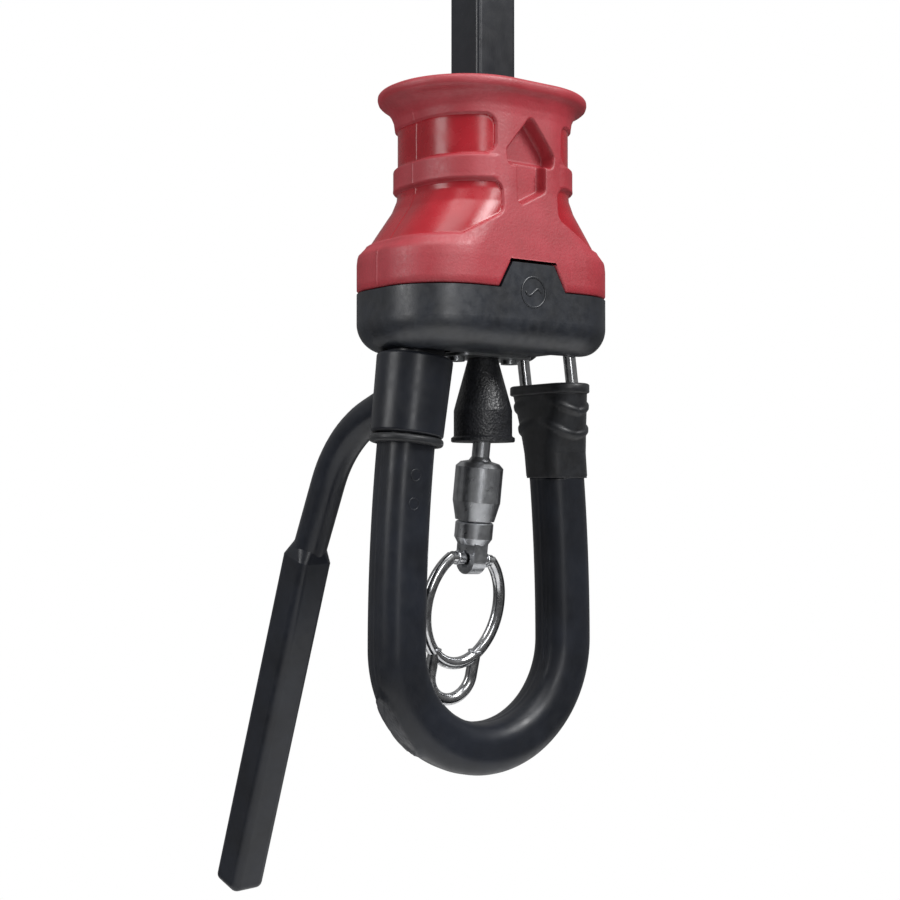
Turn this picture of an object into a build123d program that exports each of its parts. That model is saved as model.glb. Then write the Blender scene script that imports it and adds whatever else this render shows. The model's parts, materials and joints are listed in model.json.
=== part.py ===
"""Kite quick release with harness loop, finger, swivel and leash ring, on the end of its centre tube.

Millimetres, +Z up. The origin is the centre of the centre tube's upper end face, where the part hangs.
X runs across the loop's two legs and -Y is the front, with the arrow recess.
"""
import os
from math import asin, cos, degrees, radians, sin, sqrt

from build123d import *

os.makedirs("parts", exist_ok=True)

# ---- driving dimensions ----
hang = 118.0              # tube's upper end down to the housing's underside
tube_w = 15.0             # centre tube, square
tube_corner = 1.5
tube_in = 36.0            # height of the tube's lower end above the underside
leg_d = 3.8               # depower line's legs
leg_gap = 0.1             # radial room of a leg in its bore
leg_pitch = 9.0
safety_d = 3.0
safety_gap = 0.2          # radial room of the safety line in its bore
knot_d = 5.2              # stopper knots of the depower line
eye_rise = 34.0           # depower eye's height above the tube

base_l = 80.0             # housing, along X
base_w = 50.0             # housing, along Y
base_corner = 20.0
base_h = 18.0
base_round = 9.0          # rounding of the underside
base_wall = 3.5
floor_t = 3.0
tab_foot = 25.0
tab_top = 16.0
tab_h = 8.0
tab_t = 2.6

sleeve_h = 81.0           # sleeve's top above the underside
neck_l = 53.0
neck_w = 48.0
neck_corner = 20.0
neck_top = 74.0
neck_foot = 48.0
skirt_top = 27.0
flange_l = 68.0
flange_w = 54.0
flange_corner = 26.5
flange_t = 5.0
skirt_wall = 2.5
seam_gap = 0.4
arrow_w = 18.0
arrow_h = 26.0
arrow_depth = 5.0
panel_depth = 0.8
travel = 20.0             # sleeve's stroke

core_r = 14.6             # fixed core that the sleeve slides on
core_wall = 1.6
core_top = 66.0
head_top = 48.0
ball_d = 2.0
race_t = 1.0
wire_d = 1.4              # release spring
spring_turns = 6
retainer_t = 3.0
slide_gap = 0.3           # between faces that slide past each other
pin_gap = 0.05            # radial, in a pin's bore

leg_x = 32.5              # half the loop's width, centre line
loop_c = -89.5            # centre of the bow, from the underside
loop_start = 4.0          # upper end of the left leg above the underside
leg_in = 7.5              # how far the legs lean in at their upper end
loop_w = 16.0             # loop tube, square
loop_corner = 4.5
rope_d = 7.0              # load rope inside the loop tube
rope_gap = 0.3
flex_angle = 20.0         # flex point, from the bow's lowest point towards the fixed leg
flex_gap = 0.3
boot_top = -8.0
boot_foot = -38.0
boot_l = 30.0
boot_t = 12.4
bail_d = 4.0
bail_w = 23.0
bail_top = 9.0
bail_foot = -14.5

lever_x = 17.5            # lever pivot
lever_z = 7.5
lever_w = 8.0
lever_pin_d = 3.0
nose_reach = 10.0
tail_h = 20.5
tail_t = 3.8

cuff_top_d = 23.4         # finger's cuff on the fixed leg
cuff_foot_d = 22.2
cuff_top = -1.4
cuff_foot = -25.6
cuff_bore = 19.6
finger_d = 11.0
finger_w = 12.4
finger_turn = 7.0         # finger's heading, from +Y towards -X
finger_bend = 40.0

cone_top_d = 10.0
cone_d = 18.3
cone_lip_d = 20.0
cone_foot = -27.0
swivel_z = -23.0          # ball joint's centre, from the underside
ball_joint_d = 8.4
barrel_d = 15.0
barrel_foot_d = 12.3
collar_d = 12.0
swivel_lean = 2.0         # degrees towards -X
swivel_back = 6.0         # degrees towards +Y
eye_drop = 40.75          # eye's centre below the ball joint
eye_d = 5.4
tongue_t = 5.0
tongue_w = 9.5
ring_d = 3.8
ring_half = 14.0
ring_tall = 18.2
ring_drop = 15.2          # ring's centre below its cross bar
ring_lean = 6.0
ring_back = 9.0
bow_half = 8.0
bow_drop = 37.0
wide = 200.0              # longer than any cut needs

base_z = -hang


def up(height):
    """Height above the housing's underside, as a height in the part's frame."""
    return base_z + height


def keep(name, solid):
    solid.label = name
    export_step(solid, f"parts/{name}.step")


# ---- centre tube and its lines ----
bore_d = leg_d + 2 * leg_gap
safety_bore = safety_d + 2 * safety_gap
with BuildPart() as centre_tube:
    with BuildSketch(Plane.XY.offset(up(tube_in))):
        RectangleRounded(tube_w, tube_w, tube_corner)
        with GridLocations(leg_pitch, 0, 2, 1):
            Circle(bore_d / 2, mode=Mode.SUBTRACT)
        Circle(safety_bore / 2, mode=Mode.SUBTRACT)
    extrude(amount=hang - tube_in)
keep("centre_tube", centre_tube.part)

head_plate = 5.0
head_foot = tube_in - head_plate - knot_d - 1.0
with BuildPart() as depower_line:
    with BuildSketch(Plane.XY.offset(up(tube_in - head_plate - knot_d / 2))):
        with GridLocations(leg_pitch, 0, 2, 1):
            Circle(leg_d / 2)
    extrude(amount=hang - tube_in + head_plate + knot_d / 2)
    with Locations((leg_pitch / 2, 0, up(tube_in - head_plate - knot_d / 2)),
                   (-leg_pitch / 2, 0, up(tube_in - head_plate - knot_d / 2))):
        Sphere(knot_d / 2)
keep("depower_line", depower_line.part)

# The eye goes up from one bore, over, and down into the other.
eye_half = 9.0
eye_route = [
    (leg_pitch / 2, 0, 0),
    (leg_pitch / 2, 0, eye_rise * 0.3),
    (eye_half, 0, eye_rise * 0.62),
    (eye_half + 1, 0, eye_rise * 0.92),
    (eye_half - 3.5, 0, eye_rise * 1.19),
    (-eye_half + 3.5, 0, eye_rise * 1.19),
    (-eye_half - 1, 0, eye_rise * 0.92),
    (-eye_half, 0, eye_rise * 0.62),
    (-leg_pitch / 2, 0, eye_rise * 0.3),
    (-leg_pitch / 2, 0, 0),
]


def arc_radii(route):
    """The largest tangent arc for each corner: 0.45 of the shorter run over tan(half the turn)."""
    found = []
    for before, corner, after in zip(route, route[1:], route[2:]):
        first = Vector(*corner) - Vector(*before)
        second = Vector(*after) - Vector(*corner)
        half_turn = radians(first.get_angle(second)) / 2
        shorter = min(first.length, second.length)
        found.append(0.45 * shorter * cos(half_turn) / sin(half_turn))
    return found


eye_radii = arc_radii(eye_route)
with BuildPart() as depower_line_eye:
    with BuildLine() as eye_path:
        FilletPolyline(*eye_route, radius=eye_radii)
    with BuildSketch(Plane(eye_path.line @ 0, z_dir=eye_path.line % 0)):
        Circle(leg_d / 2)
    sweep()
keep("depower_line_eye", depower_line_eye.part)
print("eye: length", round(eye_path.wires()[0].length, 1), "radii", [round(r, 1) for r in eye_radii])

knot_z = 4.2
safety_knot = 4.6
with BuildPart() as safety_line:
    with BuildSketch(Plane.XY.offset(up(cone_foot + 9))):
        Circle(safety_d / 2)
    extrude(amount=hang - cone_foot - 9 + knot_z)
    with Locations((0, 0, knot_z)):
        Sphere(safety_knot / 2)
keep("safety_line", safety_line.part)

# ---- swivel head and its thrust bearing ----
core_bore = core_r - core_wall
head_r = core_bore - slide_gap
socket_gap = 0.05
race_r = 10.5
with BuildPart() as swivel_head:
    with BuildSketch(Plane.XY.offset(up(head_foot))):
        Circle(head_r)
    extrude(amount=head_top - head_foot)
    with BuildSketch(Plane.XY.offset(up(tube_in))):
        RectangleRounded(tube_w + 2 * socket_gap, tube_w + 2 * socket_gap, tube_corner + socket_gap)
    extrude(amount=head_top - tube_in, mode=Mode.SUBTRACT)
    with BuildSketch(Plane.XY.offset(up(head_foot))):
        with GridLocations(leg_pitch, 0, 2, 1):
            Circle(bore_d / 2)
        Circle(safety_bore / 2)
    extrude(amount=tube_in - head_foot, mode=Mode.SUBTRACT)
    with BuildSketch(Plane.XY.offset(up(head_foot))):
        RectangleRounded(leg_pitch + knot_d + 1, knot_d + 1, (knot_d + 0.9) / 2)
    extrude(amount=tube_in - head_plate - head_foot, mode=Mode.SUBTRACT)
keep("swivel_head", swivel_head.part)


def race(bottom):
    """Flat bearing race round the tube, its lower face at this height."""
    with BuildPart() as ring:
        with BuildSketch(Plane.XY.offset(up(bottom))):
            Circle(head_r)
            Circle(race_r, mode=Mode.SUBTRACT)
        extrude(amount=race_t)
    return ring.part


ball_run = 0.05
ball_z = head_top + race_t + ball_run + ball_d / 2
ball_count = 24
keep("bearing_lower_race", race(head_top))
keep("bearing_upper_race", race(ball_z + ball_d / 2))
with BuildPart() as bearing_balls:
    with Locations((0, 0, up(ball_z))):
        with PolarLocations((race_r + head_r) / 2, ball_count):
            Sphere(ball_d / 2)
keep("bearing_balls", bearing_balls.part)

# ---- fixed core, spring retainer, spring ----
shoulder_z = ball_z + ball_d / 2 + race_t
core_foot = floor_t + 3.0
with BuildPart() as core_housing:
    with BuildSketch(Plane.XY.offset(up(core_foot))):
        Circle(core_r)
    extrude(amount=core_top - core_foot)
    with BuildSketch(Plane.XY.offset(up(core_foot))):
        Circle(core_bore)
    extrude(amount=shoulder_z - core_foot, mode=Mode.SUBTRACT)
    with BuildSketch(Plane.XY.offset(up(shoulder_z))):
        Circle(race_r)
    extrude(amount=core_top - shoulder_z, mode=Mode.SUBTRACT)
    # The lever's cheeks stand beside the core, so its foot is cut back there.
    with BuildSketch(Plane.XY.offset(up(core_foot))):
        with Locations((core_r, 0)):
            Rectangle(4.4, lever_w + 8)
    extrude(amount=lever_z + tail_h + 2 - core_foot, mode=Mode.SUBTRACT)
keep("core_housing", core_housing.part)

spring_r = core_r + 0.35 + wire_d / 2
chamber_r = spring_r + wire_d / 2 + 0.4
ledge_top = 36.0
with BuildPart() as spring_retainer:
    with BuildSketch(Plane.XY.offset(up(core_top))):
        Circle(chamber_r - slide_gap)
        Circle(race_r, mode=Mode.SUBTRACT)
    extrude(amount=retainer_t)
    chamfer(spring_retainer.edges().filter_by(GeomType.CIRCLE).group_by(Axis.Z)[-1], 0.5)
keep("spring_retainer", spring_retainer.part)

spring_len = core_top - ledge_top - wire_d - 0.4
with BuildPart() as release_spring:
    with BuildLine():
        Helix(spring_len / spring_turns, spring_len, spring_r, center=(0, 0, up(ledge_top + 0.2 + wire_d / 2)))
    with BuildSketch(Plane(origin=(spring_r, 0, up(ledge_top + 0.2 + wire_d / 2)), z_dir=(0, 1, 0))):
        Circle(wire_d / 2)
    sweep(is_frenet=True)
keep("release_spring", release_spring.part)

# ---- release sleeve ----
flare = [
    (neck_foot, neck_l, neck_w, neck_corner),
    (neck_foot - 4, neck_l + 4.4, neck_w + 0.3, neck_corner),
    (neck_foot - 10, neck_l + 13, neck_w + 1.0, neck_corner),
    (neck_foot - 16, neck_l + 21.5, neck_w + 1.6, neck_corner),
    (skirt_top, base_l, base_w, base_corner),
]


def flare_solid(inset):
    """The flare between skirt and neck, its walls moved in by this much."""
    with BuildPart() as body:
        for height, length, width, corner in flare:
            with BuildSketch(Plane.XY.offset(up(height))):
                RectangleRounded(length - 2 * inset, width - 2 * inset, corner - inset)
        loft()
    return body.part


def straight_solid(low, high, length, width, corner):
    with BuildPart() as body:
        with BuildSketch(Plane.XY.offset(up(low))):
            RectangleRounded(length, width, corner)
        extrude(amount=high - low)
    return body.part


def neck_panel(low, high, gap):
    """Shallow recess round each side of the neck, with the front and back middles left proud."""
    with BuildPart() as cut:
        with BuildSketch(Plane.XY.offset(up(low))):
            RectangleRounded(neck_l + 2, neck_w + 2, neck_corner + 1)
            RectangleRounded(neck_l - 2 * panel_depth, neck_w - 2 * panel_depth,
                             neck_corner - panel_depth, mode=Mode.SUBTRACT)
            Rectangle(2 * gap, wide, mode=Mode.SUBTRACT)
        extrude(amount=high - low)
    return cut.part


seam_z = base_h + seam_gap
ledge_foot = 30.0
guide_t = 1.4
guide_gap = 0.1
guide_bore = core_r + guide_gap
rib_w = 7.0
rib_foot = 21.0
rib_slope = 1.2
tail_face = lever_x + tail_t / 2
tail_tip = lever_z + tail_h
panel_gap = 12.0
front_y = -neck_w / 2
arrow_z = neck_foot - 2.5

with BuildPart() as release_sleeve:
    add(straight_solid(seam_z, skirt_top, base_l, base_w, base_corner))
    add(flare_solid(0))
    add(straight_solid(neck_foot, neck_top, neck_l, neck_w, neck_corner))
    with BuildSketch(Plane.XY.offset(up(neck_top))):
        RectangleRounded(neck_l, neck_w, neck_corner)
    with BuildSketch(Plane.XY.offset(up(sleeve_h - flange_t + 0.6))):
        RectangleRounded(flange_l - 2, flange_w - 2, flange_corner - 1)
    loft()
    with BuildSketch(Plane.XY.offset(up(sleeve_h - flange_t))):
        RectangleRounded(flange_l, flange_w, flange_corner)
    extrude(amount=flange_t)
    rim = release_sleeve.faces().sort_by(Axis.Z)[-1].outer_wire().edges()
    fillet(rim, flange_t * 0.46)
    # Hollow skirt and flare, then the spring chamber and the tube's way out.
    add(straight_solid(seam_z - 1, skirt_top, base_l - 2 * skirt_wall, base_w - 2 * skirt_wall,
                       base_corner - skirt_wall), mode=Mode.SUBTRACT)
    with BuildSketch(Plane.XY.offset(up(skirt_top))):
        RectangleRounded(base_l - 2 * skirt_wall, base_w - 2 * skirt_wall, base_corner - skirt_wall)
    with BuildSketch(Plane.XY.offset(up(ledge_foot))):
        RectangleRounded(base_l - 14, base_w - 9, base_corner - 4)
    loft(mode=Mode.SUBTRACT)
    with BuildSketch(Plane.XY.offset(up(ledge_foot))):
        Circle(guide_bore + guide_t)
    extrude(amount=ledge_top - ledge_foot, mode=Mode.SUBTRACT)
    with BuildSketch(Plane.XY.offset(up(ledge_top))):
        Circle(chamber_r)
    extrude(amount=sleeve_h - 3 - ledge_top, mode=Mode.SUBTRACT)
    with BuildSketch(Plane.XY.offset(up(sleeve_h - 4))):
        Circle(race_r + 1)
    extrude(amount=5, mode=Mode.SUBTRACT)
    # The rib that blocks the lever's tail, with a sloped face that lets it go as the sleeve lifts.
    with BuildSketch(Plane.XZ.offset(-rib_w / 2)):
        with BuildLine():
            Polyline(
                (tail_face + slide_gap + rib_slope * (tail_tip - rib_foot), up(rib_foot)),
                (tail_face + slide_gap, up(tail_tip)),
                (tail_face + slide_gap, up(ledge_foot + 1)),
                (base_l / 2 - skirt_wall + 0.5, up(ledge_foot + 1)),
                (base_l / 2 - skirt_wall + 0.5, up(rib_foot)),
                close=True,
            )
        make_face()
    extrude(amount=rib_w)
    # Room for the tail's tip under the ledge.
    with BuildSketch(Plane.XY.offset(up(ledge_foot - 1))):
        with Locations(((core_r + tail_face + slide_gap) / 2, 0)):
            Rectangle(tail_face + slide_gap - core_r, rib_w)
    extrude(amount=1.5, mode=Mode.SUBTRACT)
    # Shallow side panels, upper and lower, with a proud band between them.
    add(neck_panel(neck_foot + 11, neck_top - 2.5, panel_gap), mode=Mode.SUBTRACT)
    # The arrow: a rounded house shape, deepest at its foot.
    with BuildSketch(Plane.XZ.offset(-front_y - arrow_depth)):
        with BuildLine():
            Polyline(
                (-arrow_w * 0.26, up(arrow_z)),
                (arrow_w * 0.26, up(arrow_z)),
                (arrow_w * 0.26, up(arrow_z + arrow_h * 0.5)),
                (arrow_w * 0.5, up(arrow_z + arrow_h * 0.5)),
                (arrow_w * 0.5, up(arrow_z + arrow_h * 0.62)),
                (0, up(arrow_z + arrow_h)),
                (-arrow_w * 0.5, up(arrow_z + arrow_h * 0.62)),
                (-arrow_w * 0.5, up(arrow_z + arrow_h * 0.5)),
                (-arrow_w * 0.26, up(arrow_z + arrow_h * 0.5)),
                close=True,
            )
        make_face()
        fillet(vertices(), 1.2)
    extrude(amount=arrow_depth + 8, mode=Mode.SUBTRACT)
    # Notch for the housing's front tab.
    with BuildSketch(Plane.XZ.offset(base_w / 2 - tab_t - seam_gap)):
        with BuildLine():
            Polyline(
                (-tab_foot / 2 - seam_gap, up(seam_z - 1)),
                (tab_foot / 2 + seam_gap, up(seam_z - 1)),
                (tab_top / 2 + seam_gap, up(seam_z + tab_h)),
                (-tab_top / 2 - seam_gap, up(seam_z + tab_h)),
                close=True,
            )
        make_face()
    extrude(amount=tab_t + 4, mode=Mode.SUBTRACT)
lower_window = 2 * (neck_foot - skirt_top) / 3
with BuildPart() as lower_panel:
    add(flare_solid(-1))
    add(flare_solid(panel_depth), mode=Mode.SUBTRACT)
    with BuildSketch(Plane.XY.offset(up(skirt_top + 5.5))):
        Rectangle(wide, wide)
        Rectangle(2 * panel_gap, wide, mode=Mode.SUBTRACT)
    extrude(amount=lower_window, mode=Mode.INTERSECT)
sleeve_solid = release_sleeve.part - lower_panel.part
keep("release_sleeve", sleeve_solid)

with BuildPart() as sleeve_guide:
    with BuildSketch(Plane.XY.offset(up(ledge_foot))):
        Circle(guide_bore + guide_t)
        Circle(guide_bore, mode=Mode.SUBTRACT)
    extrude(amount=ledge_top - ledge_foot)
    with BuildSketch(Plane.XY.offset(up(ledge_foot))):
        with Locations((core_r, 0)):
            Rectangle(6, rib_w + 2)
    extrude(amount=2, mode=Mode.SUBTRACT)
keep("sleeve_guide", sleeve_guide.part)

# ---- bottom plate and its screws ----
safety_seat = cone_top_d + 0.4
plate_t = 0.8
plate_w = 17.0
screw_x = 10.5
screw_d = 3.0
screw_head = 5.4
screw_head_t = 1.4
with BuildPart() as bottom_plate:
    with BuildSketch(Plane.XY.offset(up(-plate_t))):
        RectangleRounded(2 * screw_x + 8, plate_w, 4)
        Circle(safety_seat / 2, mode=Mode.SUBTRACT)
        with GridLocations(2 * screw_x, 0, 2, 1):
            Circle(screw_d / 2, mode=Mode.SUBTRACT)
    extrude(amount=plate_t)
keep("bottom_plate", bottom_plate.part)

with BuildPart() as base_screws:
    with BuildSketch(Plane.XY.offset(up(-plate_t - screw_head_t))):
        with GridLocations(2 * screw_x, 0, 2, 1):
            Circle(screw_head / 2)
    extrude(amount=screw_head_t)
    with BuildSketch(Plane.XY.offset(up(-plate_t - screw_head_t))):
        with GridLocations(2 * screw_x, 0, 2, 1):
            RegularPolygon(1.3, 6)
    extrude(amount=0.9, mode=Mode.SUBTRACT)
    with BuildSketch(Plane.XY.offset(up(-plate_t))):
        with GridLocations(2 * screw_x, 0, 2, 1):
            Circle(screw_d / 2)
    extrude(amount=plate_t + floor_t - 0.2)
keep("base_screws", base_screws.part)

# ---- housing ----
leg_lean_r = ((loop_start - loop_c) ** 2 + leg_in ** 2) / (2 * leg_in)


def leg_centre(height):
    """Distance of a leg's centre line from the middle, at this height above the underside."""
    rise = height - loop_c
    return leg_x - leg_lean_r + sqrt(leg_lean_r ** 2 - rise ** 2)


left_x = -leg_centre(loop_start)
leg_hole = loop_w + 1.2
mouth_w = bail_w + bail_d + 3.0
mouth_start = lever_x - 2.5
mouth_top = bail_top + bail_d / 2 + 1.0
with BuildPart() as base_room:
    with BuildSketch(Plane.XY.offset(up(floor_t))):
        RectangleRounded(base_l - 2 * base_wall, base_w - 2 * base_wall, base_corner - base_wall)
    extrude(amount=base_h)
    fillet(base_room.faces().sort_by(Axis.Z)[0].outer_wire().edges(), base_round - base_wall)

with BuildPart() as base_housing:
    with BuildSketch(Plane.XY.offset(up(0))):
        RectangleRounded(base_l, base_w, base_corner)
    extrude(amount=base_h)
    fillet(base_housing.faces().sort_by(Axis.Z)[0].outer_wire().edges(), base_round)
    add(base_room.part, mode=Mode.SUBTRACT)
    # Front tab that stands up into the sleeve's notch.
    with BuildSketch(Plane.XZ.offset(base_w / 2 - tab_t)):
        with BuildLine():
            Polyline(
                (-tab_foot / 2, up(base_h - 2)),
                (tab_foot / 2, up(base_h - 2)),
                (tab_foot / 2, up(base_h)),
                (tab_top / 2, up(base_h + tab_h)),
                (-tab_top / 2, up(base_h + tab_h)),
                (-tab_foot / 2, up(base_h)),
                close=True,
            )
        make_face()
    extrude(amount=tab_t)
    with BuildSketch(Plane.XY.offset(up(-1))):
        Circle(safety_seat / 2)
    extrude(amount=floor_t + 2, mode=Mode.SUBTRACT)
    with BuildSketch(Plane.XY.offset(up(-1))):
        with Locations((-leg_centre(floor_t / 2), 0)):
            RectangleRounded(leg_hole, leg_hole, loop_corner)
    extrude(amount=floor_t + 2, mode=Mode.SUBTRACT)
    add(base_screws.part, mode=Mode.SUBTRACT)
    # Mouth where the bail goes in, open to the right as well as down.
    with BuildSketch(Plane.XY.offset(up(-1))):
        with Locations((mouth_start + wide / 2, 0)):
            Rectangle(wide, mouth_w)
    extrude(amount=mouth_top + 1, mode=Mode.SUBTRACT)
keep("base_housing", base_housing.part)

# ---- load frame, pins and lever ----
frame_t = 2.2
frame_w = 27.0
cheek_t = 2.4
cheek_w = 10.0
anchor_d = 6.0
anchor_z = 10.0
frame_z = floor_t + 0.2
anchor_cheek = loop_w / 2 + 1.2
lever_cheek = lever_w / 2 + slide_gap
with BuildPart() as load_frame:
    with BuildSketch(Plane.XY.offset(up(frame_z))):
        with Locations(((left_x - cheek_w / 2 + lever_x + 2.4) / 2, 0)):
            Rectangle(lever_x + 2.4 - left_x + cheek_w / 2, frame_w)
        Circle(safety_seat / 2, mode=Mode.SUBTRACT)
        with Locations((left_x, 0)):
            Rectangle(leg_hole, leg_hole, mode=Mode.SUBTRACT)
        with Locations((lever_x + 1, 0)):
            Rectangle(13, 2 * lever_cheek, mode=Mode.SUBTRACT)
    extrude(amount=frame_t)
    with BuildSketch(Plane.XY.offset(up(frame_z))):
        with Locations((left_x, anchor_cheek + cheek_t / 2), (left_x, -anchor_cheek - cheek_t / 2)):
            Rectangle(cheek_w, cheek_t)
    extrude(amount=anchor_z + 5 - frame_z)
    with BuildSketch(Plane.XY.offset(up(frame_z))):
        with Locations((lever_x, lever_cheek + cheek_t / 2), (lever_x, -lever_cheek - cheek_t / 2)):
            Rectangle(4.8, cheek_t)
    extrude(amount=lever_z + 3 - frame_z)
    with BuildSketch(Plane.XZ.offset(-wide / 2)):
        with Locations((left_x, up(anchor_z))):
            Circle(anchor_d / 2)
        with Locations((lever_x, up(lever_z))):
            Circle(lever_pin_d / 2)
    extrude(amount=wide, mode=Mode.SUBTRACT)
keep("load_frame", load_frame.part)


def cross_pin(x, height, diameter, length):
    """Plain pin along Y."""
    with BuildPart() as pin:
        with BuildSketch(Plane.XZ.offset(-length / 2)):
            with Locations((x, up(height))):
                Circle(diameter / 2)
        extrude(amount=length)
        chamfer(pin.edges().filter_by(GeomType.CIRCLE), 0.4)
    return pin.part


keep("loop_anchor_pin", cross_pin(left_x, anchor_z, anchor_d, 2 * (anchor_cheek + cheek_t)))
keep("lever_pivot_pin", cross_pin(lever_x, lever_z, lever_pin_d, 2 * (lever_cheek + cheek_t)))

nose_top = bail_top - bail_d / 2 - slide_gap
with BuildPart() as release_lever:
    with BuildSketch(Plane.XZ.offset(-lever_w / 2)):
        with BuildLine():
            Polyline(
                (lever_x - tail_t / 2, up(lever_z - 2.6)),
                (lever_x - tail_t / 2, up(tail_tip)),
                (tail_face, up(tail_tip)),
                (tail_face, up(nose_top + 2.5)),
                (tail_face + 0.6, up(nose_top)),
                (lever_x + nose_reach, up(nose_top)),
                (lever_x + nose_reach, up(nose_top - 2.2)),
                (lever_x + 1, up(lever_z - 4)),
                close=True,
            )
        make_face()
        with Locations((lever_x, up(lever_z))):
            Circle(lever_pin_d / 2 + pin_gap, mode=Mode.SUBTRACT)
    extrude(amount=lever_w)
keep("release_lever", release_lever.part)


# ---- harness loop ----
bow_centre = (0, up(loop_c))
bow_r = leg_x
fixed_end = 180 + 90 - flex_angle
half_gap = degrees(flex_gap / 2 / bow_r)


def leg_arc(side, top):
    """Leg's centre line from its upper end down to the widest point: one large arc."""
    centre = (side * (leg_x - leg_lean_r), up(loop_c))
    lean = degrees(asin((top - loop_c) / leg_lean_r))
    if side < 0:
        return CenterArc(centre, leg_lean_r, 180 - lean, lean)
    return CenterArc(centre, leg_lean_r, 0, lean)


def loop_section(line, start, inner, outer_w, corner):
    with BuildSketch(Plane(start, x_dir=(0, 1, 0), z_dir=line)) as section:
        if corner:
            RectangleRounded(outer_w, outer_w, corner)
            Circle(inner / 2, mode=Mode.SUBTRACT)
        else:
            Circle(outer_w / 2)
    return section.sketch


def fixed_half(inner, outer_w, corner, top):
    """Left leg and the bow as far as the flex point."""
    with BuildPart() as half:
        with BuildLine(Plane.XZ) as path:
            leg_arc(-1, top)
            CenterArc(bow_centre, bow_r, 180, fixed_end - 180 - half_gap)
        wire = path.wires()[0]
        start = min((wire @ 0, wire @ 1), key=lambda point: -point.Z)
        slope = wire % 0 if (wire @ 0 - start).length < 0.01 else wire % 1
        sweep(sections=loop_section(slope, start, inner, outer_w, corner), path=wire)
    return half.part


def free_half(inner, outer_w, corner, top):
    """Right leg and the bow as far as the flex point."""
    with BuildPart() as half:
        with BuildLine(Plane.XZ) as path:
            leg_arc(1, top)
            CenterArc(bow_centre, bow_r, fixed_end + half_gap, 360 - fixed_end - half_gap)
        wire = path.wires()[0]
        start = max((wire @ 0, wire @ 1), key=lambda point: point.Z)
        slope = wire % 0 if (wire @ 0 - start).length < 0.01 else wire % 1
        sweep(sections=loop_section(slope, start, inner, outer_w, corner), path=wire)
    return half.part


rope_bore = rope_d + 2 * rope_gap
rope_top = anchor_z - anchor_d / 2 - 0.3
keep("loop_tube", fixed_half(rope_bore, loop_w, loop_corner, loop_start))
keep("loop_tube_end", free_half(rope_bore, loop_w, loop_corner, boot_foot))
keep("loop_rope", fixed_half(0, rope_d, 0, rope_top))
keep("loop_rope_end", free_half(0, rope_d, 0, boot_foot + 5))


def leg_slope(height):
    """Sideways lean of the right leg's centre line per unit of height."""
    rise = height - loop_c
    return -rise / sqrt(leg_lean_r ** 2 - rise ** 2)


def leg_plane(side, height, slope_at):
    """Plane across a leg, its X along the loop's width and its Z up the leg."""
    slope = side * leg_slope(slope_at)
    return Plane((side * leg_centre(height), 0, up(height)), x_dir=(1, 0, -slope), z_dir=(slope, 0, 1))


# ---- bail and the boot that holds it ----
bail_line = leg_plane(1, boot_top, boot_top)
bail_mid = (bail_top + bail_foot) / 2 - boot_top
bail_plane = Plane(bail_line.origin + bail_line.z_dir * bail_mid, x_dir=(0, 1, 0), z_dir=bail_line.x_dir)
with BuildSketch(bail_plane) as bail_outline:
    RectangleRounded(bail_w, bail_top - bail_foot, bail_d * 1.1)
bail_wire = bail_outline.sketch.faces()[0].outer_wire()
with BuildPart() as bail:
    with BuildSketch(Plane(bail_wire @ 0, z_dir=bail_wire % 0)):
        Circle(bail_d / 2)
    sweep(path=bail_wire)
keep("bail", bail.part)

boot_rim = 3.2
rim_lip = 0.9
boot_sections = [
    (boot_foot, loop_w + 0.6, loop_w + 0.6, loop_corner),
    (boot_foot + 8, loop_w + 0.4, loop_w + 1.6, loop_corner + 0.4),
    ((boot_top + boot_foot) / 2 + 1, (loop_w + boot_t) / 2 + 0.6, boot_l * 0.78, boot_t / 2),
    (boot_top - boot_rim, boot_t, boot_l, boot_t / 2 - 0.1),
]
with BuildPart() as loop_end_boot:
    for height, thick, length, corner in boot_sections:
        with BuildSketch(leg_plane(1, height, height)):
            RectangleRounded(thick, length, corner)
    loft()
    with BuildSketch(leg_plane(1, boot_top - boot_rim, boot_top - boot_rim)):
        RectangleRounded(boot_t + 2 * rim_lip, boot_l + 2 * rim_lip, boot_t / 2 + rim_lip - 0.1)
    extrude(amount=boot_rim)
    fillet(loop_end_boot.faces().sort_by(Axis.Z)[-1].outer_wire().edges(), 0.8)
    add(bail.part, mode=Mode.SUBTRACT)
    with BuildSketch(leg_plane(1, boot_foot, boot_foot)):
        Circle(rope_bore / 2)
    extrude(amount=6, mode=Mode.SUBTRACT)
keep("loop_end_boot", loop_end_boot.part)

# ---- finger on its cuff ----
cuff_rise = cuff_top - cuff_foot
cuff_shift = leg_centre(cuff_foot) - leg_centre(cuff_top)
cuff_plane = Plane((-leg_centre(cuff_foot), 0, up(cuff_foot)), x_dir=(cuff_rise, 0, -cuff_shift),
                   z_dir=(cuff_shift, 0, cuff_rise))
cuff_mid = cuff_plane.origin + cuff_plane.z_dir * (cuff_rise / 2)
heading = Vector(-sin(radians(finger_turn)), cos(radians(finger_turn)), 0)


def finger_point(out, drop):
    """Point this far out from the leg along the finger's heading, at this height."""
    return Vector(cuff_mid.X + heading.X * out, heading.Y * out, up(drop))


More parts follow.
